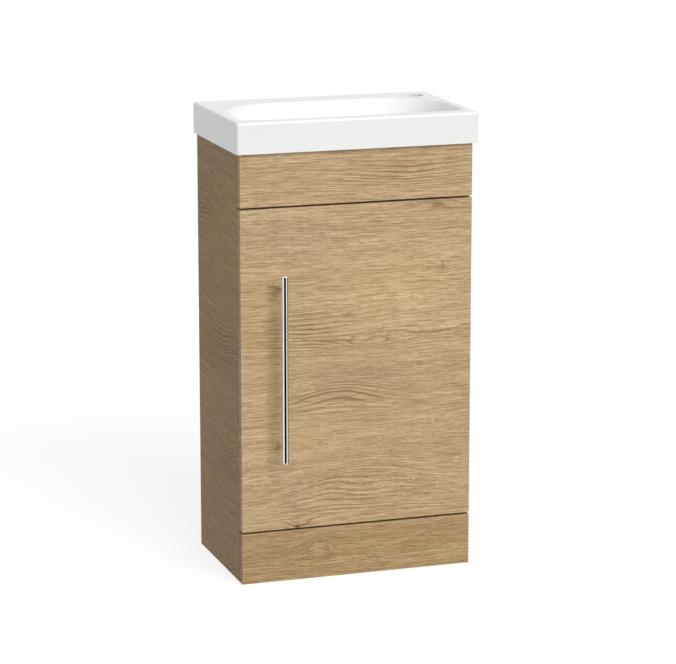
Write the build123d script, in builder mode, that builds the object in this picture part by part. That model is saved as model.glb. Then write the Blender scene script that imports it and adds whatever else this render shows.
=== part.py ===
from build123d import *
import os
from math import atan2, degrees

# Cloakroom vanity unit in millimetres: a slim floor-standing cabinet with one door under a ceramic basin.
# X runs to the right, Y to the wall behind, Z up. The origin is on the floor, under the middle of the unit.

os.makedirs("parts", exist_ok=True)

# Cabinet
cabinet_width = 386.0
cabinet_depth = 243.0
cabinet_height = 696.0
board = 16.0
front_board = 16.0
front_gap = 1.5
front_arris = 0.8
panel_gap = 3.0
fascia_height = 85.5
plinth_height = 83.0
rail_height = 80.0
front_rail_depth = 60.0
shelf_height = 330.0
shelf_depth = 120.0
shelf_setback = 20.0
shelf_side_air = 0.5

# Basin
basin_side_overhang = 7.0
basin_front_overhang = 9.0
basin_height = 50.0
basin_wall = 12.0
basin_corner_radius = 5.0
basin_top_radius = 4.0
bowl_front_rim = 25.5
bowl_side_rim = 14.0
bowl_back_ledge = 52.0
bowl_depth = 80.0
bowl_floor_inset = 36.0
bowl_floor_front_share = 0.38
bowl_floor_back_share = 0.52
bowl_floor_curve = 32.0
bowl_front_radius = 14.0
bowl_back_radius = 110.0
bowl_shell = 9.0
bowl_rim_radius = 4.0
waste_hole_diameter = 45.0
waste_seat_diameter = 62.0
waste_seat_depth = 4.0
waste_boss_diameter = 72.0
waste_boss_height = 6.0
tap_hole_diameter = 35.0
tap_from_side = 36.5
tap_from_back = 43.0

# Handle
bar_diameter = 10.0
bar_length = 303.0
bar_end_radius = 1.5
bar_standoff = 32.0
bar_inset = 63.0
bar_drop = 101.5
post_diameter = 8.0
post_spacing = 256.0
handle_screw_diameter = 4.0
handle_screw_bite = 12.0
screw_head_diameter = 8.0
screw_head_height = 2.5

# Fixings
fixing_air = 0.1
cam_diameter = 15.0
cam_depth = 12.5
cam_distance = 24.0
cam_bolt_diameter = 6.0
cam_bolt_thread = 5.0
cam_bolt_grip = 11.0
cam_bolt_head = 7.0
cam_bolt_head_length = 5.0
cam_bolt_bore = 8.0
cam_slot = 8.0
base_cam_from_front = 40.0
base_cam_from_rail = 24.0
rail_cam_from_front = 20.0
rail_dowel_from_back = 14.0
dowel_diameter = 8.0
dowel_length = 30.0
dowel_grip = 10.0
dowel_end_air = 1.0
shelf_pin_diameter = 5.0
shelf_pin_grip = 8.0
shelf_pin_reach = 9.0
shelf_pin_inset = 25.0
shelf_pin_pitch = 32.0
corner_block_side = 20.0
corner_block_height = 36.0
corner_block_wall = 4.0
wall_hole_diameter = 8.0
wall_hole_spacing = 220.0
bumper_diameter = 8.0
bumper_air = 0.3
bumper_inset = 30.0

# Concealed hinges: two cups in the door, two arms on the right side panel
hinge_inset = 80.0
cup_diameter = 35.0
cup_depth = 12.5
cup_skin = 0.8
cup_from_edge = 4.5
cup_bore_air = 0.1
flange_thickness = 0.8
flange_length = 60.0
flange_width = 17.0
cup_screw_spacing = 48.0
cup_screw_offset = 6.0
cup_screw_diameter = 3.5
cup_screw_head = 6.5
cup_screw_length = 12.0
hinge_pin_diameter = 2.5
cup_pin_diameter = 2.0
pin_running_air = 0.05
open_pivot_air = 1.25
link_air = 0.3
short_link_half_width = 3.0
arm_cheek = 1.4
long_link_cheek = 1.4
eye_wall = 1.5
arm_rear = 62.0
arm_web_height = 14.0
arm_lift = 3.5
plate_thickness = 2.5
plate_screw_spacing = 32.0
plate_screw_setback = 37.0
plate_screw_diameter = 4.0
plate_screw_length = 12.0
plate_width = 18.0
plate_wing = 24.0
plate_corner_radius = 5.0
spine_end_air = 2.0
arm_screw_from_end = 12.0
arm_screw_tip_air = 1.0
arm_web_setback = 12.0
arm_neck = 4.0
arm_shoulder = 3.6
arm_nose_step = 1.0
arm_nose_half_width = 2.475
cut_overrun = 1.0
arm_pivot_from_panel = 22.75
arm_pivot_from_front = 21.1
nose_pivot_from_panel = 15.2
nose_pivot_reach = 2.05
cup_pivot_from_middle = 12.05
cup_pivot_sink = 2.45
guide_pivot_from_middle = 9.0
guide_pivot_sink = 6.4
long_link_width = 3.2
long_link_elbow_reach = 19.25
short_link_width = 2.6
short_link_elbow_reach = 8.8
short_link_elbow_sink = 3.1
guide_eye_wall = 0.9

# Planes that the pieces share
half_width = cabinet_width / 2
handle_reach = bar_standoff + bar_diameter / 2
back_y = (cabinet_depth + handle_reach) / 2
front_y = back_y - cabinet_depth
front_back_y = front_y + front_board
side_front_y = front_back_y + front_gap
inner_x = half_width - board
fascia_bottom = cabinet_height - fascia_height
door_top = fascia_bottom - panel_gap
door_bottom = plinth_height + panel_gap
front_rail_middle = fascia_bottom - panel_gap / 2
base_middle = plinth_height + panel_gap / 2
base_top = base_middle + board / 2
rail_front_y = back_y - board
back_rail_middle_y = back_y - board / 2
upper_rail_middle = cabinet_height - rail_height / 2
lower_rail_middle = base_top + rail_height / 2

basin_half_width = half_width + basin_side_overhang
basin_front_y = front_y - basin_front_overhang
basin_top = cabinet_height + basin_height
bowl_front_y = basin_front_y + bowl_front_rim
bowl_back_y = back_y - bowl_back_ledge
bowl_middle_y = (bowl_front_y + bowl_back_y) / 2
bowl_half_width = basin_half_width - bowl_side_rim
bowl_floor = basin_top - bowl_depth
bowl_floor_length = bowl_back_y - bowl_front_y - 2 * bowl_floor_inset
floor_front_radius = bowl_floor_length * bowl_floor_front_share
floor_back_radius = bowl_floor_length * bowl_floor_back_share
tap_x = basin_half_width - tap_from_side
tap_y = back_y - tap_from_back

bar_x = -half_width + bar_inset
bar_y = front_y - bar_standoff
bar_top = door_top - bar_drop
bar_middle = bar_top - bar_length / 2
post_heights = (bar_middle - post_spacing / 2, bar_middle + post_spacing / 2)

hinge_levels = {"lower": door_bottom + hinge_inset, "upper": door_top - hinge_inset}
cup_x = half_width - cup_from_edge - cup_diameter / 2
cup_inner_radius = cup_diameter / 2 - cup_skin

# Hinge pivots. The long links swing on the arm pivot and carry the door at the cup pivot.
# The short links swing on the nose pivot and guide the guide pin in the cup.
arm_pivot = (inner_x - arm_pivot_from_panel, side_front_y + arm_pivot_from_front)
nose_pivot = (inner_x - nose_pivot_from_panel, side_front_y - nose_pivot_reach)
cup_pivot = (cup_x + cup_pivot_from_middle, front_back_y - cup_pivot_sink)
guide_pivot = (cup_x + guide_pivot_from_middle, front_back_y - guide_pivot_sink)

short_link_level = short_link_half_width
arm_inner_level = short_link_level + link_air
arm_outer_level = arm_inner_level + arm_cheek
long_link_inner_level = arm_outer_level + link_air
long_link_outer_level = long_link_inner_level + long_link_cheek
hinge_eye = hinge_pin_diameter / 2 + eye_wall


def block(x_range, y_range, z_range, mode=Mode.ADD):
    """A square-edged board between two limits on each axis."""
    middle = [(low + high) / 2 for low, high in (x_range, y_range, z_range)]
    size = [high - low for low, high in (x_range, y_range, z_range)]
    with Locations(tuple(middle)):
        Box(*size, mode=mode)


def rod(start, direction, diameter, length, mode=Mode.ADD):
    """A round bar or a round hole from a start point along a direction."""
    with BuildSketch(Plane(origin=start, z_dir=direction), mode=Mode.PRIVATE) as disc:
        Circle(diameter / 2)
    extrude(disc.sketch, amount=length, mode=mode)


# Board joints: where cam bolts and dowels cross from a board's end into the side panels
base_cam_y = (side_front_y + base_cam_from_front, rail_front_y - base_cam_from_rail)
base_dowel_y = sum(base_cam_y) / 2
front_rail_cam_y = side_front_y + rail_cam_from_front
front_rail_dowel_y = side_front_y + front_rail_depth - rail_dowel_from_back
down = (0, 0, -1)
forward = (0, -1, 0)
base_cams = [(y, base_middle, down) for y in base_cam_y]
front_rail_cams = [(front_rail_cam_y, front_rail_middle, down)]
upper_rail_cams = [(back_rail_middle_y, upper_rail_middle + rail_height / 4, forward)]
lower_rail_cams = [(back_rail_middle_y, lower_rail_middle + rail_height / 4, forward)]
base_dowels = [(base_dowel_y, base_middle)]
front_rail_dowels = [(front_rail_dowel_y, front_rail_middle)]
upper_rail_dowels = [(back_rail_middle_y, upper_rail_middle - rail_height / 4)]
lower_rail_dowels = [(back_rail_middle_y, lower_rail_middle - rail_height / 4)]
all_cams = base_cams + front_rail_cams + upper_rail_cams + lower_rail_cams
all_dowels = base_dowels + front_rail_dowels + upper_rail_dowels + lower_rail_dowels
sides = (-1, 1)


def cut_board_end_holes(cams, dowels):
    """Cam pockets, cam bolt bores and dowel bores in both ends of a board."""
    for side in sides:
        for y, z, facing in cams:
            face = (side * (inner_x - cam_distance), y + facing[1] * board / 2, z + facing[2] * board / 2)
            inward = (0, -facing[1], -facing[2])
            rod(face, inward, cam_diameter + 2 * fixing_air, cam_depth + fixing_air, Mode.SUBTRACT)
            end = (side * inner_x, y, z)
            rod(end, (-side, 0, 0), cam_bolt_bore, cam_distance, Mode.SUBTRACT)
        for y, z in dowels:
            end = (side * inner_x, y, z)
            depth = dowel_length - dowel_grip + dowel_end_air
            rod(end, (-side, 0, 0), dowel_diameter + 2 * fixing_air, depth, Mode.SUBTRACT)


def cut_side_panel_holes(side):
    """Cam bolt, dowel and shelf pin holes in the inner face of a side panel."""
    outward = (side, 0, 0)
    for y, z, facing in all_cams:
        grip = cam_bolt_grip + fixing_air
        rod((side * inner_x, y, z), outward, cam_bolt_thread + 2 * fixing_air, grip, Mode.SUBTRACT)
    for y, z in all_dowels:
        grip = dowel_grip + fixing_air
        rod((side * inner_x, y, z), outward, dowel_diameter + 2 * fixing_air, grip, Mode.SUBTRACT)
    for y in shelf_pin_y:
        for step in (-1, 0, 1):
            z = shelf_pin_z + step * shelf_pin_pitch
            grip = shelf_pin_grip + fixing_air
            rod((side * inner_x, y, z), outward, shelf_pin_diameter + 2 * fixing_air, grip, Mode.SUBTRACT)


shelf_front_y = side_front_y + shelf_setback
shelf_pin_y = (shelf_front_y + shelf_pin_inset, shelf_front_y + shelf_depth - shelf_pin_inset)
shelf_pin_z = shelf_height - shelf_pin_diameter / 2
plate_screw_y = side_front_y + plate_screw_setback

# Side panels
with BuildPart() as left_side_panel:
    block((-half_width, -inner_x), (side_front_y, back_y), (0, cabinet_height))
    cut_side_panel_holes(-1)
left_side_panel.part.label = "left_side_panel"
export_step(left_side_panel.part, "parts/left_side_panel.step")

with BuildPart() as right_side_panel:
    block((inner_x, half_width), (side_front_y, back_y), (0, cabinet_height))
    cut_side_panel_holes(1)
    for level in hinge_levels.values():
        for offset in (-plate_screw_spacing / 2, plate_screw_spacing / 2):
            hole = plate_screw_diameter + 2 * fixing_air
            depth = plate_screw_length + fixing_air
            rod((inner_x, plate_screw_y, level + offset), (1, 0, 0), hole, depth, Mode.SUBTRACT)
right_side_panel.part.label = "right_side_panel"
export_step(right_side_panel.part, "parts/right_side_panel.step")

# Base, rails and shelf between the sides
with BuildPart() as base_panel:
    block((-inner_x, inner_x), (side_front_y, back_y), (base_top - board, base_top))
    cut_board_end_holes(base_cams, base_dowels)
base_panel.part.label = "base_panel"
export_step(base_panel.part, "parts/base_panel.step")

with BuildPart() as front_rail:
    rail_z = (front_rail_middle - board / 2, front_rail_middle + board / 2)
    block((-inner_x, inner_x), (side_front_y, side_front_y + front_rail_depth), rail_z)
    cut_board_end_holes(front_rail_cams, front_rail_dowels)
front_rail.part.label = "front_rail"
export_step(front_rail.part, "parts/front_rail.step")

with BuildPart() as upper_back_rail:
    block((-inner_x, inner_x), (rail_front_y, back_y), (cabinet_height - rail_height, cabinet_height))
    cut_board_end_holes(upper_rail_cams, upper_rail_dowels)
    for side in sides:
        start = (side * wall_hole_spacing / 2, rail_front_y, upper_rail_middle)
        rod(start, (0, 1, 0), wall_hole_diameter, board, Mode.SUBTRACT)
upper_back_rail.part.label = "upper_back_rail"
export_step(upper_back_rail.part, "parts/upper_back_rail.step")

with BuildPart() as lower_back_rail:
    block((-inner_x, inner_x), (rail_front_y, back_y), (base_top, base_top + rail_height))
    cut_board_end_holes(lower_rail_cams, lower_rail_dowels)
lower_back_rail.part.label = "lower_back_rail"
export_step(lower_back_rail.part, "parts/lower_back_rail.step")

with BuildPart() as inner_shelf:
    shelf_half_width = inner_x - shelf_side_air
    shelf_y = (shelf_front_y, shelf_front_y + shelf_depth)
    block((-shelf_half_width, shelf_half_width), shelf_y, (shelf_height, shelf_height + board))
    fillet(inner_shelf.edges().filter_by(Axis.X).group_by(Axis.Y)[0], front_arris)
inner_shelf.part.label = "inner_shelf"
export_step(inner_shelf.part, "parts/inner_shelf.step")

# Fixed front panels and the blocks behind them
with BuildPart() as front_fascia:
    block((-half_width, half_width), (front_y, front_back_y), (fascia_bottom, cabinet_height))
    fillet(front_fascia.faces().sort_by(Axis.Y)[0].edges(), front_arris)
front_fascia.part.label = "front_fascia"
export_step(front_fascia.part, "parts/front_fascia.step")

with BuildPart() as plinth_panel:
    block((-half_width, half_width), (front_y, front_back_y), (0, plinth_height))
    fillet(plinth_panel.faces().sort_by(Axis.Y)[0].edges(), front_arris)
plinth_panel.part.label = "plinth_panel"
export_step(plinth_panel.part, "parts/plinth_panel.step")


def corner_blocks_at(bottom):
    """A pair of moulded corner blocks with an open middle, one against each side panel."""
    for side in sides:
        corner = (side * inner_x, front_back_y)
        with BuildSketch(Plane.XY.offset(bottom), mode=Mode.PRIVATE) as outline:
            with BuildLine():
                Polyline(
                    corner,
                    (corner[0] - side * corner_block_side, corner[1]),
                    (corner[0] - side * corner_block_side, corner[1] + corner_block_wall),
                    (corner[0] - side * corner_block_wall, corner[1] + corner_block_side),
                    (corner[0], corner[1] + corner_block_side),
                    close=True,
                )
            make_face()
        extrude(outline.sketch, amount=corner_block_height)
        pocket_low = bottom + corner_block_wall
        pocket_high = bottom + corner_block_height - corner_block_wall
        pocket_x = [corner[0] - side * corner_block_wall, corner[0] - side * corner_block_side]
        pocket_y = (corner[1] + corner_block_wall, corner[1] + corner_block_side)
        block(sorted(pocket_x), pocket_y, (pocket_low, pocket_high), Mode.SUBTRACT)


with BuildPart() as fascia_blocks:
    corner_blocks_at(front_rail_middle + board / 2 + corner_block_wall)
fascia_blocks.part.label = "fascia_blocks"
export_step(fascia_blocks.part, "parts/fascia_blocks.step")

with BuildPart() as plinth_blocks:
    corner_blocks_at((base_top - board - corner_block_height) / 2)
plinth_blocks.part.label = "plinth_blocks"
export_step(plinth_blocks.part, "parts/plinth_blocks.step")

# Cabinet fixings
with BuildPart() as cam_discs:
    for side in sides:
        for y, z, facing in all_cams:
            face = (side * (inner_x - cam_distance), y + facing[1] * board / 2, z + facing[2] * board / 2)
            start = (face[0], face[1] - facing[1] * fixing_air, face[2] - facing[2] * fixing_air)
            inward = (0, -facing[1], -facing[2])
            rod(start, inward, cam_diameter, cam_depth - fixing_air)
            slot = (side * (inner_x - cam_distance - cam_bolt_head_length), y, z)
            rod(slot, (side, 0, 0), cam_slot, cam_diameter, Mode.SUBTRACT)
cam_discs.part.label = "cam_discs"
export_step(cam_discs.part, "parts/cam_discs.step")

with BuildPart() as cam_bolts:
    for side in sides:
        for y, z, facing in all_cams:
            rod((side * inner_x, y, z), (side, 0, 0), cam_bolt_thread, cam_bolt_grip)
            shank = cam_distance - cam_bolt_head_length
            rod((side * inner_x, y, z), (-side, 0, 0), cam_bolt_diameter, shank)
            head = (side * (inner_x - shank), y, z)
            rod(head, (-side, 0, 0), cam_bolt_head, cam_bolt_head_length)
cam_bolts.part.label = "cam_bolts"
export_step(cam_bolts.part, "parts/cam_bolts.step")

with BuildPart() as wooden_dowels:
    for side in sides:
        for y, z in all_dowels:
            rod((side * (inner_x + dowel_grip), y, z), (-side, 0, 0), dowel_diameter, dowel_length)
wooden_dowels.part.label = "wooden_dowels"
export_step(wooden_dowels.part, "parts/wooden_dowels.step")

with BuildPart() as shelf_pins:
    for side in sides:
        for y in shelf_pin_y:
            outer = (side * (inner_x + shelf_pin_grip), y, shelf_pin_z)
            rod(outer, (-side, 0, 0), shelf_pin_diameter, shelf_pin_grip + shelf_pin_reach)
shelf_pins.part.label = "shelf_pins"
export_step(shelf_pins.part, "parts/shelf_pins.step")


# Basin: a hollow ceramic top with a bowl that narrows to a rounded floor
def bowl_outline(level, inset, front_radius, back_radius):
    """The bowl at one level, seen from above: square at the front, with wide swept corners at the back."""
    half = bowl_half_width - inset
    low_y = bowl_front_y + inset
    high_y = bowl_back_y - inset
    with BuildSketch(Plane.XY.offset(level)) as outline:
        with BuildLine():
            FilletPolyline(
                (half, low_y),
                (half, high_y),
                (-half, high_y),
                (-half, low_y),
                radius=(front_radius, back_radius, back_radius, front_radius),
                close=True,
            )
        make_face()
    return outline.sketch


with BuildPart() as bowl_inside:
    top = bowl_outline(basin_top, 0, bowl_front_radius, bowl_back_radius)
    bottom = bowl_outline(bowl_floor, bowl_floor_inset, floor_front_radius, floor_back_radius)
    loft([top, bottom], ruled=True)
    fillet(bowl_inside.faces().sort_by(Axis.Z)[0].edges(), bowl_floor_curve)

with BuildPart() as bowl_outside:
    shell_top = basin_top - basin_wall / 2
    top = bowl_outline(shell_top, -bowl_shell, bowl_front_radius + bowl_shell, bowl_back_radius + bowl_shell)
    shell_inset = bowl_floor_inset - bowl_shell
    shell_floor = bowl_floor - bowl_shell
    shell_front_radius = floor_front_radius + bowl_shell
    bottom = bowl_outline(shell_floor, shell_inset, shell_front_radius, floor_back_radius + bowl_shell)
    loft([top, bottom], ruled=True)
    fillet(bowl_outside.faces().sort_by(Axis.Z)[0].edges(), bowl_floor_curve + bowl_shell)

with BuildPart() as basin:
    outer_x = (-basin_half_width, basin_half_width)
    block(outer_x, (basin_front_y, back_y), (cabinet_height, basin_top))
    fillet(basin.edges().filter_by(Axis.Z), basin_corner_radius)
    fillet(basin.faces().sort_by(Axis.Z)[-1].edges(), basin_top_radius)
    hollow_x = (-basin_half_width + basin_wall, basin_half_width - basin_wall)
    hollow_y = (basin_front_y + basin_wall, back_y - basin_wall)
    block(hollow_x, hollow_y, (cabinet_height, basin_top - basin_wall), Mode.SUBTRACT)
    add(bowl_outside.part)
    waste_bottom = shell_floor - waste_boss_height
    boss_top = bowl_floor - bowl_shell / 2
    rod((0, bowl_middle_y, boss_top), (0, 0, -1), waste_boss_diameter, boss_top - waste_bottom)
    add(bowl_inside.part, mode=Mode.SUBTRACT)
    rim = basin.faces().sort_by(Axis.Z)[-1].inner_wires()[0]
    fillet(rim.edges(), bowl_rim_radius)
    rod((0, bowl_middle_y, waste_bottom), (0, 0, 1), waste_hole_diameter, bowl_depth, Mode.SUBTRACT)
    with BuildSketch(Plane.XY.offset(bowl_floor), mode=Mode.PRIVATE) as seat_top:
        with Locations((0, bowl_middle_y)):
            Circle(waste_seat_diameter / 2)
    with BuildSketch(Plane.XY.offset(bowl_floor - waste_seat_depth), mode=Mode.PRIVATE) as seat_bottom:
        with Locations((0, bowl_middle_y)):
            Circle(waste_hole_diameter / 2)
    loft([seat_bottom.sketch, seat_top.sketch], mode=Mode.SUBTRACT)
    rod((tap_x, tap_y, basin_top), (0, 0, -1), tap_hole_diameter, basin_height / 2, Mode.SUBTRACT)
basin.part.label = "basin"
export_step(basin.part, "parts/basin.step")

# Door with its handle and bumpers
bumper_x = -(half_width - board / 2)
bumper_heights = (door_bottom + bumper_inset, door_top - bumper_inset)
cup_screw_x = cup_x - cup_screw_offset
cup_screw_heights = [
    level + offset
    for level in hinge_levels.values()
    for offset in (-cup_screw_spacing / 2, cup_screw_spacing / 2)
]
with BuildPart() as door:
    block((-half_width, half_width), (front_y, front_back_y), (door_bottom, door_top))
    fillet(door.faces().sort_by(Axis.Y)[0].edges(), front_arris)
    for level in hinge_levels.values():
        bore = cup_diameter + 2 * cup_bore_air
        rod((cup_x, front_back_y, level), forward, bore, cup_depth + cup_bore_air, Mode.SUBTRACT)
    for height in cup_screw_heights:
        hole = cup_screw_diameter + 2 * fixing_air
        depth = cup_screw_length + fixing_air
        rod((cup_screw_x, front_back_y, height), forward, hole, depth, Mode.SUBTRACT)
    for height in post_heights:
        hole = handle_screw_diameter + 2 * fixing_air
        rod((bar_x, front_back_y, height), forward, hole, front_board, Mode.SUBTRACT)
door.part.label = "door"
export_step(door.part, "parts/door.step")

with BuildPart() as handle_bar:
    rod((bar_x, bar_y, bar_top - bar_length), (0, 0, 1), bar_diameter, bar_length)
    fillet(handle_bar.edges().filter_by(GeomType.CIRCLE), bar_end_radius)
handle_bar.part.label = "handle_bar"
export_step(handle_bar.part, "parts/handle_bar.step")

with BuildPart() as handle_posts:
    for height in post_heights:
        rod((bar_x, front_y, height), forward, post_diameter, bar_standoff)
        bore = handle_screw_diameter + 2 * fixing_air
        rod((bar_x, front_y, height), forward, bore, handle_screw_bite + fixing_air, Mode.SUBTRACT)
    rod((bar_x, bar_y, bar_top - bar_length), (0, 0, 1), bar_diameter, bar_length, Mode.SUBTRACT)
handle_posts.part.label = "handle_posts"
export_step(handle_posts.part, "parts/handle_posts.step")

with BuildPart() as handle_screws:
    for height in post_heights:
        start = (bar_x, front_back_y, height)
        rod(start, forward, handle_screw_diameter, front_board + handle_screw_bite)
        rod(start, (0, 1, 0), screw_head_diameter, screw_head_height)
handle_screws.part.label = "handle_screws"
export_step(handle_screws.part, "parts/handle_screws.step")

with BuildPart() as door_bumpers:
    for height in bumper_heights:
        rod((bumper_x, front_back_y, height), (0, 1, 0), bumper_diameter, front_gap - bumper_air)
door_bumpers.part.label = "door_bumpers"
export_step(door_bumpers.part, "parts/door_bumpers.step")


# Concealed hinges: each is a crossed linkage of two flat plates and one bent strip on four pins
def strip(points, width):
    """A flat link outline: a strip of one width through the given points, round at each."""
    for start, end in zip(points, points[1:]):
        run = Vector(end[0] - start[0], end[1] - start[1])
        with Locations(((start[0] + end[0]) / 2, (start[1] + end[1]) / 2)):
            SlotOverall(run.length + width, width, rotation=degrees(atan2(run.Y, run.X)))


def along_z(sketch, low, high, mode=Mode.ADD):
    """A flat outline drawn at height zero, made solid between two heights."""
    extrude(Pos(0, 0, low) * sketch, amount=high - low, mode=mode)


def pin_at(centre, low, high, diameter, mode=Mode.ADD):
    """A vertical pin or pin hole between two heights."""
    rod((centre[0], centre[1], low), (0, 0, 1), diameter, high - low, mode)


link_elbow = (arm_pivot[0] + long_link_elbow_reach, cup_pivot[1])
short_link_elbow = (nose_pivot[0] + short_link_elbow_reach, guide_pivot[1] - short_link_elbow_sink)
guide_eye = cup_pin_diameter / 2 + open_pivot_air + guide_eye_wall

with BuildSketch() as long_link_outline:
    strip((arm_pivot, link_elbow, cup_pivot), long_link_width)
    with Locations(arm_pivot, cup_pivot):
        Circle(hinge_eye)
    with Locations(arm_pivot, cup_pivot):
        Circle(hinge_pin_diameter / 2 + pin_running_air, mode=Mode.SUBTRACT)

with BuildSketch() as short_link_outline:
    strip((nose_pivot, short_link_elbow, guide_pivot), short_link_width)
    with Locations(nose_pivot):
        Circle(hinge_eye)
    with Locations(guide_pivot):
        Circle(guide_eye)
    with Locations(nose_pivot):
        Circle(hinge_pin_diameter / 2 + pin_running_air, mode=Mode.SUBTRACT)
    with Locations(guide_pivot):
        Circle(cup_pin_diameter / 2 + open_pivot_air, mode=Mode.SUBTRACT)

arm_low_x = inner_x - arm_lift
arm_web_x = arm_low_x - arm_web_height
arm_end_y = side_front_y + arm_rear
web_front_y = arm_pivot[1] + arm_web_setback
with BuildSketch() as arm_outline:
    with BuildLine():
        Polyline(
            (nose_pivot[0] + arm_nose_half_width, nose_pivot[1] + arm_nose_step),
            (arm_low_x, arm_pivot[1] - arm_neck),
            (arm_low_x, arm_end_y),
            (arm_web_x, arm_end_y),
            (arm_web_x, web_front_y),
            (arm_pivot[0] - arm_shoulder, arm_pivot[1] + arm_neck),
            (arm_pivot[0] - arm_shoulder, arm_pivot[1] - arm_nose_step),
            (nose_pivot[0] - arm_nose_half_width, nose_pivot[1] + arm_nose_step),
            close=True,
        )
    make_face()
    with Locations(nose_pivot):
        Circle(hinge_eye)

for name, level in hinge_levels.items():
    with BuildPart() as hinge_cup:
        rod((cup_x, front_back_y, level), forward, cup_diameter, cup_depth)
        flange_centre = (cup_screw_x, front_back_y, level)
        with BuildSketch(Plane(origin=flange_centre, x_dir=(0, 0, 1), z_dir=(0, 1, 0))):
            SlotOverall(flange_length, flange_width)
        extrude(amount=flange_thickness)
        mouth = (cup_x, front_back_y + flange_thickness, level)
        mouth_depth = flange_thickness + cup_depth - cup_skin
        rod(mouth, forward, 2 * cup_inner_radius, mouth_depth, Mode.SUBTRACT)
        for offset in (-cup_screw_spacing / 2, cup_screw_spacing / 2):
            start = (cup_screw_x, front_back_y, level + offset)
            hole = cup_screw_diameter + 2 * fixing_air
            rod(start, (0, 1, 0), hole, flange_thickness, Mode.SUBTRACT)
        reach = cup_diameter / 2
        hole = hinge_pin_diameter + 2 * pin_running_air
        pin_at(cup_pivot, level - reach, level + reach, hole, Mode.SUBTRACT)
        hole = cup_pin_diameter + 2 * pin_running_air
        pin_at(guide_pivot, level - reach, level + reach, hole, Mode.SUBTRACT)
    hinge_cup.part.label = f"{name}_hinge_cup"
    export_step(hinge_cup.part, f"parts/{name}_hinge_cup.step")

    with BuildPart() as cup_pins:
        pin_gap = arm_outer_level + link_air / 2
        for low, high in ((-reach, -pin_gap), (pin_gap, reach)):
            pin_at(cup_pivot, level + low, level + high, hinge_pin_diameter)
        pin_at(guide_pivot, level - reach, level + reach, cup_pin_diameter)
        rod((cup_x, front_back_y, level), forward, cup_diameter - cup_skin, cup_depth, Mode.INTERSECT)
    cup_pins.part.label = f"{name}_hinge_cup_pins"
    export_step(cup_pins.part, f"parts/{name}_hinge_cup_pins.step")

    with BuildPart() as long_links:
        for low, high in (
            (-long_link_outer_level, -long_link_inner_level),
            (long_link_inner_level, long_link_outer_level),
        ):
            along_z(long_link_outline.sketch, level + low, level + high)
    long_links.part.label = f"{name}_hinge_long_links"
    export_step(long_links.part, f"parts/{name}_hinge_long_links.step")

    with BuildPart() as short_link:
        along_z(short_link_outline.sketch, level - short_link_level, level + short_link_level)
    short_link.part.label = f"{name}_hinge_short_link"
    export_step(short_link.part, f"parts/{name}_hinge_short_link.step")

    with BuildPart() as hinge_arm:
        along_z(arm_outline.sketch, level - arm_outer_level, level + arm_outer_level)
        channel_x = (arm_web_x + arm_cheek, inner_x)
        channel_z = (level - arm_inner_level, level + arm_inner_level)
        block(channel_x, (web_front_y, arm_end_y + cut_overrun), channel_z, Mode.SUBTRACT)
        front_x = (arm_pivot[0] - arm_shoulder - cut_overrun, inner_x)
        nose_end_y = nose_pivot[1] - hinge_eye - cut_overrun
        block(front_x, (nose_end_y, web_front_y), channel_z, Mode.SUBTRACT)
        for pivot in (arm_pivot, nose_pivot):
            hole = hinge_pin_diameter + 2 * pin_running_air
            pin_at(pivot, level - arm_outer_level, level + arm_outer_level, hole, Mode.SUBTRACT)
        screw_start = (arm_web_x, arm_end_y - arm_screw_from_end, level)
        rod(screw_start, (1, 0, 0), plate_screw_diameter + 2 * fixing_air, arm_cheek, Mode.SUBTRACT)
    hinge_arm.part.label = f"{name}_hinge_arm"
    export_step(hinge_arm.part, f"parts/{name}_hinge_arm.step")

    with BuildPart() as arm_pins:
        pin_at(arm_pivot, level - long_link_outer_level, level + long_link_outer_level, hinge_pin_diameter)
        pin_at(nose_pivot, level - arm_outer_level, level + arm_outer_level, hinge_pin_diameter)
    arm_pins.part.label = f"{name}_hinge_arm_pins"
    export_step(arm_pins.part, f"parts/{name}_hinge_arm_pins.step")

    with BuildPart() as mounting_plate:
        wing_y = (plate_screw_y - plate_width / 2, plate_screw_y + plate_width / 2)
        block((inner_x - plate_thickness, inner_x), wing_y, (level - plate_wing, level + plate_wing))
        fillet(mounting_plate.edges().filter_by(Axis.X), plate_corner_radius)
        spine_x = (arm_web_x + arm_cheek, inner_x)
        spine_half = arm_inner_level - fixing_air
        spine_y = (web_front_y + spine_end_air, arm_end_y - spine_end_air)
        block(spine_x, spine_y, (level - spine_half, level + spine_half))
        for offset in (-plate_screw_spacing / 2, plate_screw_spacing / 2):
            hole = plate_screw_diameter + 2 * fixing_air
            start = (inner_x, plate_screw_y, level + offset)
            rod(start, (-1, 0, 0), hole, plate_thickness, Mode.SUBTRACT)
        tapped = plate_screw_diameter + 2 * fixing_air
        rod(screw_start, (1, 0, 0), tapped, plate_screw_length, Mode.SUBTRACT)
    mounting_plate.part.label = f"{name}_hinge_plate"
    export_step(mounting_plate.part, f"parts/{name}_hinge_plate.step")

# Hinge screws
with BuildPart() as cup_screws:
    for height in cup_screw_heights:
        rod((cup_screw_x, front_back_y, height), forward, cup_screw_diameter, cup_screw_length)
        stem = (cup_screw_x, front_back_y, height)
        rod(stem, (0, 1, 0), cup_screw_diameter, flange_thickness)
        head = (cup_screw_x, front_back_y + flange_thickness, height)
        rod(head, (0, 1, 0), cup_screw_head, screw_head_height)
cup_screws.part.label = "cup_screws"
export_step(cup_screws.part, "parts/cup_screws.step")

with BuildPart() as plate_screws:
    for level in hinge_levels.values():
        for offset in (-plate_screw_spacing / 2, plate_screw_spacing / 2):
            head = (inner_x - plate_thickness - screw_head_height, plate_screw_y, level + offset)
            rod(head, (1, 0, 0), screw_head_diameter, screw_head_height)
            shank = screw_head_height + plate_thickness + plate_screw_length
            rod(head, (1, 0, 0), plate_screw_diameter, shank)
plate_screws.part.label = "plate_screws"
export_step(plate_screws.part, "parts/plate_screws.step")

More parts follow.
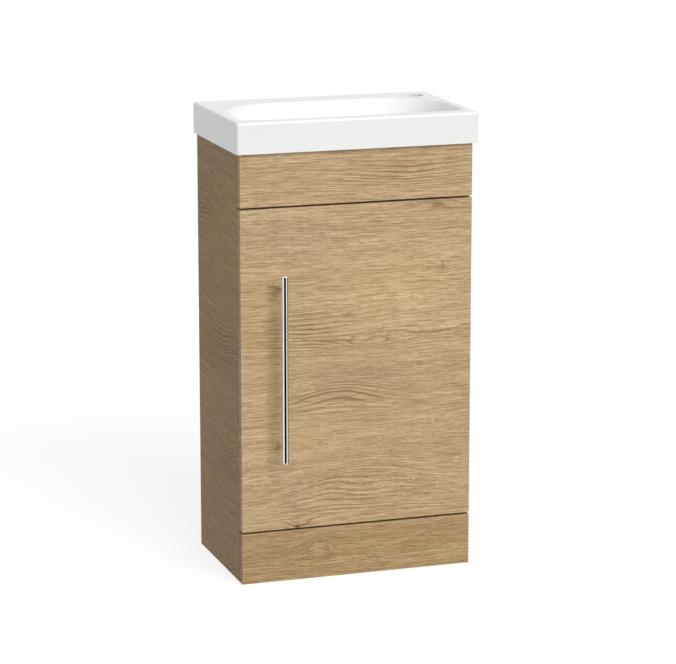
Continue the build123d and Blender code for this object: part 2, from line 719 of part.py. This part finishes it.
with BuildPart() as arm_screws:
    arm_screw_length = plate_screw_length - arm_screw_tip_air
    for level in hinge_levels.values():
        head = (arm_web_x - screw_head_height, arm_end_y - arm_screw_from_end, level)
        rod(head, (1, 0, 0), screw_head_diameter, screw_head_height)
        rod(head, (1, 0, 0), plate_screw_diameter, screw_head_height + arm_screw_length)
arm_screws.part.label = "arm_screws"
export_step(arm_screws.part, "parts/arm_screws.step")
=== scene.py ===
import bpy
import bmesh
import math
from mathutils import Euler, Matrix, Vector


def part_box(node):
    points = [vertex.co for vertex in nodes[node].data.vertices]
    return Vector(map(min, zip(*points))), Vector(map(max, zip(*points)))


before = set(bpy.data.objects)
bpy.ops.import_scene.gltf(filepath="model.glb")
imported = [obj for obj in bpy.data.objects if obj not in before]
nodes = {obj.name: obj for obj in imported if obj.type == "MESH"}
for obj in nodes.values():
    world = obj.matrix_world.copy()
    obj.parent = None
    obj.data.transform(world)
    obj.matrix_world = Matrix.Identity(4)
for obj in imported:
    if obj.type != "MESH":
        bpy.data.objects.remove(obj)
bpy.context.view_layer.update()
scene = bpy.context.scene
scene.view_settings.view_transform = "Standard"


# Small helpers for node trees
def srgb(red, green, blue):
    """A colour given in 8-bit screen values, as the linear values a shader takes."""
    linear = []
    for channel in (red, green, blue):
        share = channel / 255
        linear.append(share / 12.92 if share <= 0.04045 else ((share + 0.055) / 1.055) ** 2.4)
    return (*linear, 1.0)


def node(tree, kind, inputs=None, **settings):
    """A node with its settings made and its sockets set or linked."""
    made = tree.nodes.new(kind)
    for key, value in settings.items():
        setattr(made, key, value)
    for key, value in (inputs or {}).items():
        if isinstance(value, bpy.types.NodeSocket):
            tree.links.new(value, made.inputs[key])
        else:
            made.inputs[key].default_value = value
    return made


def maths(tree, operation, *values, clamp=False):
    """One step of arithmetic on values or sockets."""
    step = node(tree, "ShaderNodeMath", dict(enumerate(values)), operation=operation, use_clamp=clamp)
    return step.outputs[0]


def spread(tree, value, low, high, to_low=0.0, to_high=1.0):
    """A value between two limits, spread smoothly to two others and held there."""
    inputs = {"Value": value, "From Min": low, "From Max": high, "To Min": to_low, "To Max": to_high}
    return node(tree, "ShaderNodeMapRange", inputs, interpolation_type="SMOOTHSTEP").outputs["Result"]


def blend(tree, share, first, second, mode="MIX"):
    """Two colours mixed by a share."""
    mixer = node(tree, "ShaderNodeMix", data_type="RGBA", blend_type=mode)
    for socket, value in zip((mixer.inputs[0], mixer.inputs[6], mixer.inputs[7]), (share, first, second)):
        if isinstance(value, bpy.types.NodeSocket):
            tree.links.new(value, socket)
        else:
            socket.default_value = value
    return mixer.outputs[2]


def streaks(tree, along, across, pattern, shift):
    """Noise drawn out along the grain, in a pattern of streaks."""
    per_metre_along, per_metre_across, detail, roughness = pattern
    stretched = {
        "X": maths(tree, "MULTIPLY", along, per_metre_along),
        "Y": maths(tree, "MULTIPLY", across, per_metre_across),
        "Z": shift,
    }
    place = node(tree, "ShaderNodeCombineXYZ", stretched).outputs[0]
    sizes = {"Vector": place, "Scale": 1.0, "Detail": detail, "Roughness": roughness}
    return node(tree, "ShaderNodeTexNoise", sizes).outputs["Fac"]


def new_group(name, inputs, outputs):
    """A shader node group with named sockets. Returns it with its input and output nodes."""
    group = bpy.data.node_groups.new(name, "ShaderNodeTree")
    for socket_name, kind, value in inputs:
        socket = group.interface.new_socket(socket_name, in_out="INPUT", socket_type=kind)
        socket.default_value = value
    for socket_name, kind in outputs:
        group.interface.new_socket(socket_name, in_out="OUTPUT", socket_type=kind)
    return group, group.nodes.new("NodeGroupInput"), group.nodes.new("NodeGroupOutput")


FLOAT, COLOR, VECTOR = "NodeSocketFloat", "NodeSocketColor", "NodeSocketVector"


def swirl_group():
    """Bends the grain over a centre, so that its lines arch and close into an eye."""
    names = ("Along", "Across", "Centre Along", "Centre Across", "Length", "Height", "Lift")
    inputs = [(name, FLOAT, 0.05) for name in names]
    group, given, result = new_group("Grain swirl", inputs, [("Across", FLOAT), ("Mask", FLOAT)])
    step_along = maths(group, "SUBTRACT", given.outputs["Along"], given.outputs["Centre Along"])
    step_along = maths(group, "DIVIDE", step_along, given.outputs["Length"])
    step_across = maths(group, "SUBTRACT", given.outputs["Across"], given.outputs["Centre Across"])
    step_across = maths(group, "DIVIDE", step_across, given.outputs["Height"])
    square = maths(group, "ADD", maths(group, "MULTIPLY", step_along, step_along),
                   maths(group, "MULTIPLY", step_across, step_across))
    mask = maths(group, "EXPONENT", maths(group, "MULTIPLY", square, -1.0))
    lift = maths(group, "MULTIPLY", mask, given.outputs["Lift"])
    group.links.new(maths(group, "ADD", given.outputs["Across"], lift), result.inputs["Across"])
    group.links.new(mask, result.inputs["Mask"])
    return group


# Colours of the oak, from its ground to its pores
GROUND_DEEP = srgb(186, 157, 115)
GROUND_PALE = srgb(205, 179, 138)
GROUND_SLOW = srgb(199, 171, 128)
LINE_DEEP = srgb(160, 130, 89)
LINE_PALE = srgb(224, 201, 160)
FIBRE_DEEP = srgb(146, 116, 78)
FIBRE_PALE = srgb(228, 207, 168)
LATE_WOOD = srgb(138, 106, 66)
PORE = srgb(126, 96, 60)
RAY_FLECK = srgb(226, 205, 166)
KNOT = srgb(104, 72, 40)

# Streaks of the oak: how many in a metre along the grain and across it, then their detail and roughness
DRIFT = (2.2, 5.0, 2.0, 0.45)
SLOW_CHANGE = (2.6, 16.0, 2.0, 0.50)
BANDS = (3.5, 62.0, 3.0, 0.60)
LINES = (15.0, 500.0, 3.0, 0.62)
FIBRE = (40.0, 900.0, 2.0, 0.60)
PORES = (70.0, 800.0, 1.0, 0.50)
FLECKS = (120.0, 430.0, 1.0, 0.50)

# How far the grain wanders, in metres, and how much of a swirl the fibre follows
WANDER = 0.022
FIBRE_PULL = 0.45
# How steep the ray flecks lie, and how many growth rings stand in a metre and how uneven they are
FLECK_SLANT = 0.30
RINGS_PER_METRE = 175.0
RING_UNEVENNESS = 1.6
# How strongly the late wood shows on plain board and inside a swirl, and how strongly pores and flecks show
LATE_ON_PLAIN = 0.26
LATE_IN_SWIRL = 0.80
PORE_SHARE = 0.36
FLECK_SHARE = 0.42


def oak_group():
    """Oak seen along the board: growth lines, fibre, pores, ray flecks and slow changes of tone."""
    names = ("Along", "Across", "Bent Across", "Shift", "Dark", "Figure")
    inputs = [(name, FLOAT, 0.0) for name in names] + [("Tone", COLOR, (1.0, 1.0, 1.0, 1.0))]
    outputs = [("Color", COLOR), ("Roughness", FLOAT), ("Height", FLOAT)]
    group, given, result = new_group("Oak grain", inputs, outputs)
    along, across = given.outputs["Along"], given.outputs["Across"]
    shift = given.outputs["Shift"]
    drift = streaks(group, along, across, DRIFT, shift)
    wave = maths(group, "MULTIPLY", maths(group, "SUBTRACT", drift, 0.5), WANDER)
    bent = maths(group, "ADD", given.outputs["Bent Across"], wave)
    pull = maths(group, "SUBTRACT", given.outputs["Bent Across"], across)
    pull = maths(group, "MULTIPLY", pull, FIBRE_PULL)
    across = maths(group, "ADD", maths(group, "ADD", across, wave), pull)
    slow = streaks(group, along, across, SLOW_CHANGE, shift)
    bands = streaks(group, along, bent, BANDS, shift)
    lines = streaks(group, along, across, LINES, shift)
    fibre = streaks(group, along, across, FIBRE, shift)
    pores = spread(group, streaks(group, along, across, PORES, shift), 0.58, 0.70)
    tilted = maths(group, "ADD", across, maths(group, "MULTIPLY", along, FLECK_SLANT))
    rays = spread(group, streaks(group, along, tilted, FLECKS, shift), 0.56, 0.70)
    rays = maths(group, "MULTIPLY", rays, spread(group, slow, 0.62, 0.40))
    ring = maths(group, "ADD", maths(group, "MULTIPLY", bent, RINGS_PER_METRE),
                 maths(group, "MULTIPLY", bands, RING_UNEVENNESS))
    ring = maths(group, "FRACT", ring)
    late = maths(group, "MULTIPLY", spread(group, ring, 0.50, 0.90), spread(group, ring, 1.0, 0.90))
    shown = maths(group, "ADD", spread(group, slow, 0.40, 0.66, 0.0, LATE_ON_PLAIN),
                  maths(group, "MULTIPLY", given.outputs["Figure"], LATE_IN_SWIRL))
    late = maths(group, "MULTIPLY", late, shown, clamp=True)
    colour = blend(group, spread(group, bands, 0.30, 0.70), GROUND_DEEP, GROUND_PALE)
    for streak, start, full, most, tint in (
        (slow, 0.34, 0.66, 0.45, GROUND_SLOW),
        (lines, 0.50, 0.34, 0.78, LINE_DEEP),
        (lines, 0.52, 0.68, 0.70, LINE_PALE),
        (fibre, 0.49, 0.28, 0.80, FIBRE_DEEP),
        (fibre, 0.54, 0.72, 0.65, FIBRE_PALE),
    ):
        colour = blend(group, spread(group, streak, start, full, 0.0, most), colour, tint)
    colour = blend(group, late, colour, LATE_WOOD)
    colour = blend(group, maths(group, "MULTIPLY", pores, PORE_SHARE), colour, PORE)
    colour = blend(group, maths(group, "MULTIPLY", rays, FLECK_SHARE), colour, RAY_FLECK)
    colour = blend(group, given.outputs["Dark"], colour, KNOT)
    # The tone multiplies the oak; on the side panels and the plinth it is painted shade
    colour = blend(group, 1.0, colour, given.outputs["Tone"], "MULTIPLY")
    group.links.new(colour, result.inputs["Color"])
    rough = spread(group, maths(group, "ADD", pores, late), 0.0, 1.2, 0.46, 0.66)
    group.links.new(rough, result.inputs["Roughness"])
    height = maths(group, "SUBTRACT", maths(group, "ADD", maths(group, "MULTIPLY", lines, 0.5), fibre),
                   maths(group, "MULTIPLY", pores, 0.8))
    group.links.new(height, result.inputs["Height"])
    return group


# Chipboard: its chips, the gaps between them, and how many chips and specks of dust stand in a metre
CHIP_DARK = srgb(150, 118, 78)
CHIP_PALE = srgb(214, 186, 142)
CHIP_GAP = srgb(106, 80, 52)
CHIPS_PER_METRE = 520.0
DUST_PER_METRE = 1500.0


def chipboard_group():
    """The pressed chips of a board's unfaced edge and of the holes drilled in it."""
    inputs = [("Vector", VECTOR, (0, 0, 0))]
    group, given, result = new_group("Chipboard edge", inputs, [("Color", COLOR), ("Height", FLOAT)])
    place = given.outputs["Vector"]
    chips = node(group, "ShaderNodeTexVoronoi", {"Vector": place, "Scale": CHIPS_PER_METRE, "Randomness": 1.0})
    dust = node(group, "ShaderNodeTexNoise", {"Vector": place, "Scale": DUST_PER_METRE, "Detail": 3.0})
    value = node(group, "ShaderNodeSeparateColor", {0: chips.outputs["Color"]}).outputs[0]
    colour = blend(group, value, CHIP_DARK, CHIP_PALE)
    colour = blend(group, spread(group, dust.outputs["Fac"], 0.52, 0.70, 0.0, 0.7), colour, CHIP_GAP)
    group.links.new(colour, result.inputs["Color"])
    group.links.new(maths(group, "ADD", value, dust.outputs["Fac"]), result.inputs["Height"])
    return group


def arris_group():
    """A mask along the outline of a board's face, where it turns over the arris."""
    inputs = [(name, VECTOR, (0, 0, 0)) for name in ("Vector", "Low", "High")] + [("Width", FLOAT, 0.001)]
    group, given, result = new_group("Board arris", inputs, [("Mask", FLOAT)])
    place, low, high = given.outputs["Vector"], given.outputs["Low"], given.outputs["High"]
    from_low = node(group, "ShaderNodeVectorMath", {0: place, 1: low}, operation="SUBTRACT").outputs[0]
    from_high = node(group, "ShaderNodeVectorMath", {0: high, 1: place}, operation="SUBTRACT").outputs[0]
    nearest = node(group, "ShaderNodeVectorMath", {0: from_low, 1: from_high}, operation="MINIMUM")
    parts = node(group, "ShaderNodeSeparateXYZ", {0: nearest.outputs[0]})
    near = maths(group, "MINIMUM", parts.outputs["X"], parts.outputs["Z"])
    share = maths(group, "DIVIDE", near, given.outputs["Width"])
    group.links.new(spread(group, share, 1.0, 0.35), result.inputs["Mask"])
    return group


def handling_group():
    """Faint cloudy marks and fine speckle on a hard surface, for its roughness and tone."""
    inputs = [("Vector", VECTOR, (0, 0, 0)), ("Cloud Size", FLOAT, 30.0), ("Speckle Size", FLOAT, 900.0)]
    group, given, result = new_group("Handling marks", inputs, [("Cloud", FLOAT), ("Speckle", FLOAT)])
    for mark, detail in (("Cloud", 3.0), ("Speckle", 1.0)):
        sizes = {"Vector": given.outputs["Vector"], "Scale": given.outputs[mark + " Size"], "Detail": detail}
        noise = node(group, "ShaderNodeTexNoise", sizes)
        group.links.new(noise.outputs["Fac"], result.inputs[mark])
    return group


swirl = swirl_group()
oak_grain = oak_group()
chipboard = chipboard_group()
board_arris = arris_group()
handling = handling_group()


def new_material(name, **values):
    """A material with its main shader, and the uniform values set on that shader."""
    made = bpy.data.materials.new(name)
    made.use_nodes = True
    shader = made.node_tree.nodes["Principled BSDF"]
    for key, value in values.items():
        shader.inputs[key.replace("_", " ")].default_value = value
    return made, made.node_tree, shader


def bump(tree, shader, height, strength, distance):
    """Relief on a surface."""
    relief = node(tree, "ShaderNodeBump", {"Height": height, "Strength": strength, "Distance": distance})
    tree.links.new(relief.outputs[0], shader.inputs["Normal"])


# The places of the figure on the front, in metres: along, across, length, height and lift of each swirl
FRONT_SWIRLS = (
    (-0.030, 0.310, 0.088, 0.030, -0.023),
    (0.020, 0.382, 0.058, 0.011, 0.022),
    (0.130, 0.389, 0.090, 0.016, 0.016),
    (0.002, 0.160, 0.115, 0.046, -0.030),
    (0.010, 0.118, 0.050, 0.018, 0.012),
    (-0.080, 0.400, 0.070, 0.030, 0.008),
    (-0.098, 0.088, 0.026, 0.012, 0.013),
    (-0.066, 0.054, 0.023, 0.017, -0.030),
    (-0.060, 0.022, 0.055, 0.012, 0.010),
    (0.135, 0.606, 0.045, 0.012, -0.014),
    (0.075, 0.652, 0.090, 0.024, 0.010),
    (0.144, 0.500, 0.016, 0.010, 0.006),
)
# The knots on the front: along, across, half length, half height and darkness
FRONT_KNOTS = (
    (-0.1010, 0.0885, 0.0055, 0.0042, 1.00),
    (-0.0880, 0.0910, 0.0110, 0.0024, 0.55),
    (0.1300, 0.6050, 0.0220, 0.0030, 0.50),
    (0.1444, 0.5005, 0.0030, 0.0060, 0.45),
    (-0.1420, 0.4830, 0.0060, 0.0030, 0.35),
)
# Paler and darker zones of the front: along, across, half length, half height and change of brightness
FRONT_ZONES = (
    (0.065, 0.470, 0.110, 0.050, 0.13),
    (0.160, 0.400, 0.070, 0.025, 0.06),
    (-0.110, 0.560, 0.090, 0.030, -0.08),
    (0.020, 0.330, 0.110, 0.022, -0.09),
    (-0.100, 0.130, 0.080, 0.040, -0.05),
    (-0.150, 0.040, 0.070, 0.040, -0.07),
)
# The swirls on both side panels, where along runs from the front to the back
SIDE_SWIRLS = (
    (0.020, 0.300, 0.110, 0.050, 0.026),
    (-0.030, 0.120, 0.060, 0.045, 0.024),
    (0.080, 0.520, 0.080, 0.040, -0.018),
)


# Tones given to the fronts: painted shade on their edges, which darkens the gaps between the panels, and a
# painted highlight along the arris of their faces
EDGE_PAINTED_SHADE = (0.68, 0.60, 0.47, 1.0)
ARRIS_PAINTED_HIGHLIGHT = srgb(222, 200, 162)
ARRIS_WIDTH = 0.0015
ARRIS_HIGHLIGHT_SHARE = 0.35
# On a board's edge the grain leans by this share of the depth, measured from the plane of the fronts' faces
LEAN = 0.35
FRONT_PLANE = 0.103
# A surface faces an axis where its normal lies along that axis by more than this
FACING = 0.5
GRAIN_RELIEF = (0.22, 0.0006)


def oval(tree, along, across, centre_along, centre_across, length, height, lift=0.0):
    """One oval of the figure at its place on the board. It bends the grain where it has a lift."""
    inputs = {"Along": along, "Across": across, "Centre Along": centre_along, "Centre Across": centre_across,
              "Length": length, "Height": height, "Lift": lift}
    return node(tree, "ShaderNodeGroup", inputs, node_tree=swirl)


def oak(name, along_axis, across_axis, thick_axis, swirls=(), knots=(), zones=(), shift=0.0,
        tone=(1.0, 1.0, 1.0), gloss=0.22, stretch=1.0, raw_back=0.0, raw_ends=0.0, limits=None):
    """Oak-effect board. Its grain runs along one axis. Its edges are darkened with painted shade, or show bare
    chipboard.
    """
    made, tree, shader = new_material(name, Specular_IOR_Level=gloss)
    place = node(tree, "ShaderNodeTexCoord")
    parts = node(tree, "ShaderNodeSeparateXYZ", {0: place.outputs["Object"]})
    facing = node(tree, "ShaderNodeSeparateXYZ", {0: place.outputs["Normal"]})
    along, level = parts.outputs[along_axis], parts.outputs[across_axis]
    straight = maths(tree, "ADD", level, maths(tree, "MULTIPLY", parts.outputs[thick_axis], LEAN))
    straight = maths(tree, "ADD", straight, FRONT_PLANE * LEAN if thick_axis == "Y" else 0.0)
    bent = straight
    shown = 0.0
    for swirl_at in swirls:
        bend = oval(tree, along, bent, *swirl_at)
        bent = bend.outputs["Across"]
        shown = maths(tree, "MAXIMUM", shown, bend.outputs["Mask"])
    dark = 0.0
    for *knot_at, depth in knots:
        knot = oval(tree, along, level, *knot_at)
        dark = maths(tree, "MAXIMUM", dark, maths(tree, "MULTIPLY", knot.outputs["Mask"], depth))
    inputs = {"Along": maths(tree, "MULTIPLY", along, stretch), "Across": straight, "Bent Across": bent,
              "Shift": shift, "Dark": dark, "Figure": shown, "Tone": (*tone, 1.0)}
    figure = node(tree, "ShaderNodeGroup", inputs, node_tree=oak_grain)
    colour, height = figure.outputs["Color"], figure.outputs["Height"]
    brightness = 1.0
    for *zone_at, change in zones:
        zone = oval(tree, along, level, *zone_at)
        brightness = maths(tree, "ADD", brightness, maths(tree, "MULTIPLY", zone.outputs["Mask"], change))
    if zones:
        colour = blend(tree, 1.0, colour, brightness, "MULTIPLY")
    if limits:
        low, high = limits
        inputs = {"Vector": place.outputs["Object"], "Low": low, "High": high, "Width": ARRIS_WIDTH}
        arris = node(tree, "ShaderNodeGroup", inputs, node_tree=board_arris)
        edge = maths(tree, "LESS_THAN", maths(tree, "ABSOLUTE", facing.outputs["Y"]), FACING)
        on_face = maths(tree, "SUBTRACT", 1.0, edge)
        # Painted highlight: a paler line along the arris of the face, where its edge would catch the light
        paler = maths(tree, "MULTIPLY", maths(tree, "MULTIPLY", arris.outputs["Mask"], on_face), ARRIS_HIGHLIGHT_SHARE)
        colour = blend(tree, paler, colour, ARRIS_PAINTED_HIGHLIGHT)
        # Painted shade: the edge faces are darkened, so the gaps between the front panels look dark
        colour = blend(tree, edge, colour, EDGE_PAINTED_SHADE, "MULTIPLY")
    if raw_back or raw_ends:
        back = maths(tree, "GREATER_THAN", facing.outputs["Y"], FACING)
        back = maths(tree, "MULTIPLY", back, raw_back)
        ends = maths(tree, "GREATER_THAN", maths(tree, "ABSOLUTE", facing.outputs[across_axis]), FACING)
        ends = maths(tree, "MULTIPLY", ends, raw_ends)
        raw = maths(tree, "MAXIMUM", back, ends)
        chips = node(tree, "ShaderNodeGroup", {"Vector": place.outputs["Object"]}, node_tree=chipboard)
        colour = blend(tree, raw, colour, chips.outputs["Color"])
        height = blend(tree, raw, height, chips.outputs["Height"])
    tree.links.new(colour, shader.inputs["Base Color"])
    tree.links.new(figure.outputs["Roughness"], shader.inputs["Roughness"])
    bump(tree, shader, height, *GRAIN_RELIEF)
    return made


SPECKLE_DEPTH = 0.0002
# Drawn lines on plated steel: how many in a metre on each axis, and their relief
DRAWN_LINES = (2600.0, 2600.0, 120.0)
DRAWN_RELIEF = (0.08, 0.0001)


def handling_marks(tree, place, cloud, speckle):
    """The handling marks on one finish, at its own sizes."""
    inputs = {"Vector": place.outputs["Object"], "Cloud Size": cloud, "Speckle Size": speckle}
    return node(tree, "ShaderNodeGroup", inputs, node_tree=handling)


def clouded(tree, marks, smoothest, roughest):
    """A roughness that changes a little with the cloudy marks."""
    return spread(tree, marks.outputs["Cloud"], 0.3, 0.7, smoothest, roughest)


def hard_surface(name, darker, paler, smoothest, roughest, cloud, speckle=900.0, relief=0.0, **values):
    """A hard finish whose tone and roughness change a little over the surface."""
    made, tree, shader = new_material(name, **values)
    marks = handling_marks(tree, node(tree, "ShaderNodeTexCoord"), cloud, speckle)
    tone = blend(tree, marks.outputs["Cloud"], srgb(*darker), srgb(*paler))
    tree.links.new(tone, shader.inputs["Base Color"])
    tree.links.new(clouded(tree, marks, smoothest, roughest), shader.inputs["Roughness"])
    if relief:
        bump(tree, shader, marks.outputs["Speckle"], relief, SPECKLE_DEPTH)
    return made


def turned_metal(name, darker, paler, smoothest, roughest):
    """Plated metal with fine drawn lines along its height."""
    made, tree, shader = new_material(name, Metallic=1.0)
    place = node(tree, "ShaderNodeTexCoord")
    turn = node(tree, "ShaderNodeMapping", {"Vector": place.outputs["Object"], "Scale": DRAWN_LINES})
    lines = node(tree, "ShaderNodeTexNoise", {"Vector": turn.outputs[0], "Scale": 1.0, "Detail": 2.0})
    marks = handling_marks(tree, place, 30.0, 900.0)
    tone = blend(tree, lines.outputs["Fac"], srgb(*darker), srgb(*paler))
    tree.links.new(tone, shader.inputs["Base Color"])
    tree.links.new(clouded(tree, marks, smoothest, roughest), shader.inputs["Roughness"])
    bump(tree, shader, lines.outputs["Fac"], *DRAWN_RELIEF)
    return made


# The basin's underside, where its normal points down by more than this, is left without glaze
UNDERSIDE = -0.6
DRY_ROUGHNESS = 0.8


def ceramic():
    """White glaze over the outside and the bowl, with the body left dry under the basin."""
    made, tree, shader = new_material("Glazed ceramic", IOR=1.52, Coat_Weight=0.12, Coat_Roughness=0.04)
    place = node(tree, "ShaderNodeTexCoord")
    marks = handling_marks(tree, place, 14.0, 1400.0)
    facing = node(tree, "ShaderNodeSeparateXYZ", {0: place.outputs["Normal"]})
    dry = maths(tree, "LESS_THAN", facing.outputs["Z"], UNDERSIDE)
    glaze = blend(tree, marks.outputs["Cloud"], srgb(242, 242, 241), srgb(246, 246, 245))
    body = blend(tree, marks.outputs["Speckle"], srgb(222, 218, 210), srgb(234, 231, 225))
    tree.links.new(blend(tree, dry, glaze, body), shader.inputs["Base Color"])
    dry_rough = maths(tree, "MULTIPLY", dry, DRY_ROUGHNESS)
    rough = maths(tree, "MAXIMUM", clouded(tree, marks, 0.07, 0.11), dry_rough)
    tree.links.new(rough, shader.inputs["Roughness"])
    return made


def lowest(name):
    """The low corner of a piece's box."""
    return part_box(name)[0]


def highest(name):
    """The high corner of a piece's box."""
    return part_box(name)[1]


def wear(names, made):
    """Gives the material to each of these pieces."""
    for name in names:
        piece = nodes[name]
        piece.data.materials.clear()
        piece.data.materials.append(made)


# Tones over the oak, painted shade: the plinth, low down where the light falls off, and the side panels, which
# stand in shade, are darker than the fascia and the door
FRONT_TONE = (1.0, 1.0, 1.0)
PLINTH_PAINTED_SHADE = (0.82, 0.77, 0.69)
SIDE_PAINTED_SHADE = (0.575, 0.50, 0.325)

# The three front panels are cut from one figure, so their grain runs on from one to the next
# The plinth gets a tone of painted shade, and the fascia and the door get none
for panel, panel_painted_shade in (("front_fascia", FRONT_TONE), ("door", FRONT_TONE), ("plinth_panel", PLINTH_PAINTED_SHADE)):
    corners = (tuple(lowest(panel)), tuple(highest(panel)))
    wear([panel], oak(f"Oak {panel}", "X", "Z", "Y", FRONT_SWIRLS, FRONT_KNOTS, FRONT_ZONES, shift=4.9,
                      tone=panel_painted_shade, limits=corners))
for panel, board, board_shift in (("left_side_panel", "Oak left side", 3.1),
                                  ("right_side_panel", "Oak right side", 7.7)):
    wear([panel], oak(board, "Y", "Z", "X", SIDE_SWIRLS, shift=board_shift, tone=SIDE_PAINTED_SHADE, gloss=0.12,
                      stretch=0.38, raw_back=1.0, raw_ends=1.0))
level_oak = oak("Oak level boards", "X", "Y", "Z", shift=11.3, raw_back=1.0)
wear(["base_panel", "inner_shelf", "front_rail"], level_oak)
wear(["upper_back_rail", "lower_back_rail"], oak("Oak back rails", "X", "Z", "Y", shift=15.9, raw_ends=1.0))
wear(["basin"], ceramic())
chrome = hard_surface("Polished chrome", (232, 233, 235), (238, 239, 240), 0.02, 0.045, cloud=40.0,
                      Metallic=1.0)
wear(["handle_bar", "handle_posts"], chrome)
steel = turned_metal("Plated steel", (196, 194, 188), (222, 220, 214), 0.30, 0.42)
STEEL_PIECES = ("_arm", "_cup", "_links", "_link", "_pins", "_screws", "_bolts")
wear([name for name in nodes if name.endswith(STEEL_PIECES)], steel)
zinc = hard_surface("Die-cast zinc", (160, 161, 163), (182, 183, 184), 0.38, 0.52, cloud=60.0, speckle=2400.0,
                    relief=0.15, Metallic=1.0)
wear(["cam_discs", "lower_hinge_plate", "upper_hinge_plate"], zinc)
plastic = hard_surface("White moulded plastic", (226, 224, 216), (234, 232, 226), 0.48, 0.60, cloud=50.0,
                       speckle=2600.0, relief=0.2)
wear(["fascia_blocks", "plinth_blocks"], plastic)
beech = hard_surface("Turned beech", (206, 170, 124), (224, 190, 146), 0.6, 0.75, cloud=90.0, speckle=1800.0,
                     relief=0.2)
wear(["wooden_dowels"], beech)
rubber = hard_surface("Clear soft rubber", (214, 214, 208), (226, 226, 222), 0.30, 0.42, cloud=90.0,
                      speckle=1200.0, relief=0.05, Transmission_Weight=0.35)
wear(["door_bumpers"], rubber)

# Camera, at the photograph's place. It looks down by the dip and across by the turn, both in degrees.
CAMERA_PLACE = (-1.4474, -4.3514, 1.4030)
CAMERA_DIP = 12.588
CAMERA_TURN = -18.421
CAMERA_LENS = 154.05
camera = bpy.data.objects.new("Camera", bpy.data.cameras.new("Camera"))
scene.collection.objects.link(camera)
camera.location = CAMERA_PLACE
camera.rotation_euler = (math.radians(90 - CAMERA_DIP), 0.0, math.radians(CAMERA_TURN))
camera.data.sensor_width = 36.0
camera.data.lens = CAMERA_LENS
camera.data.clip_end = 200.0
scene.camera = camera


def lamp(name, towards, strength, angle):
    """A sun lamp that shines from a direction. Its angle, in degrees, softens its shadows."""
    made = bpy.data.objects.new(name, bpy.data.lights.new(name, "SUN"))
    scene.collection.objects.link(made)
    made.rotation_euler = Vector(towards).to_track_quat("Z", "Y").to_euler()
    made.data.energy = strength
    made.data.angle = math.radians(angle)


lamp("Key from the front", (0.20, -0.87, 0.44), 2.14, 42.0)
lamp("Faint low fill from the left", (-0.96, -0.22, 0.07), 0.34, 14.0)
lamp("Soft light from above", (0.05, -0.10, 1.0), 0.14, 60.0)


def seen_directly(tree):
    """One where the camera, a reflection or a refraction looks, and nothing for plain light."""
    path = node(tree, "ShaderNodeLightPath")
    first = maths(tree, "MAXIMUM", path.outputs["Is Camera Ray"], path.outputs["Is Glossy Ray"])
    return maths(tree, "MAXIMUM", first, path.outputs["Is Transmission Ray"])


# The world and the floor look white, but light the unit less than that
SKY_LIGHT = 0.385
SKY_SEEN = 1.0
FLOOR_TONE = (0.34, 0.34, 0.34, 1.0)
FLOOR_GLOW = 0.775
FLOOR_REACH = 30.0
WHITE = (1.0, 1.0, 1.0, 1.0)

world = bpy.data.worlds.new("Studio")
scene.world = world
world.use_nodes = True
sky = world.node_tree
background = sky.nodes["Background"]
background.inputs["Color"].default_value = WHITE
sky.links.new(spread(sky, seen_directly(sky), 0.0, 1.0, SKY_LIGHT, SKY_SEEN), background.inputs["Strength"])

floor_mesh = bmesh.new()
bmesh.ops.create_circle(floor_mesh, cap_ends=True, segments=96, radius=FLOOR_REACH)
floor_data = bpy.data.meshes.new("Floor")
floor_mesh.to_mesh(floor_data)
floor_mesh.free()
floor = bpy.data.objects.new("Floor", floor_data)
scene.collection.objects.link(floor)
floor_material, floor_tree, floor_shader = new_material("Pale floor", Roughness=0.9, Specular_IOR_Level=0.0,
                                                        Base_Color=FLOOR_TONE, Emission_Color=WHITE)
floor_glow = spread(floor_tree, seen_directly(floor_tree), 0.0, 1.0, 0.0, FLOOR_GLOW)
floor_tree.links.new(floor_glow, floor_shader.inputs["Emission Strength"])
floor_data.materials.append(floor_material)

# Dark studio cards, which show only as the dark bands along the polished bar
CARD_TONE = (0.008, 0.008, 0.008, 1.0)
CARD_DISTANCE = 0.45
CARD_HEIGHT = 0.46
CARD_MIDDLE = 0.235
BAR_X = -0.130
BAR_Y = -0.135
card_black = new_material("Black card", Roughness=1.0, Specular_IOR_Level=0.0, Base_Color=CARD_TONE)[0]


def dark_card(name, bearing, width):
    """An upright card that faces the bar, at a bearing in degrees from straight in front of it."""
    turn = math.radians(bearing)
    mesh = bmesh.new()
    bmesh.ops.create_grid(mesh, x_segments=1, y_segments=1, size=0.5)
    bmesh.ops.scale(mesh, vec=(width, CARD_HEIGHT, 1.0), verts=mesh.verts)
    bmesh.ops.rotate(mesh, matrix=Euler((math.radians(90), 0.0, turn)).to_matrix(), verts=mesh.verts)
    away = (BAR_X + CARD_DISTANCE * math.sin(turn), BAR_Y - CARD_DISTANCE * math.cos(turn), CARD_MIDDLE)
    bmesh.ops.translate(mesh, vec=away, verts=mesh.verts)
    data = bpy.data.meshes.new(name)
    mesh.to_mesh(data)
    mesh.free()
    data.materials.append(card_black)
    card = bpy.data.objects.new(name, data)
    scene.collection.objects.link(card)
    for seen in ("camera", "diffuse", "transmission", "volume_scatter", "shadow"):
        setattr(card, "visible_" + seen, False)


dark_card("Dark card on the left", -21.0, 0.730)
dark_card("Dark card on the right", 76.0, 0.290)
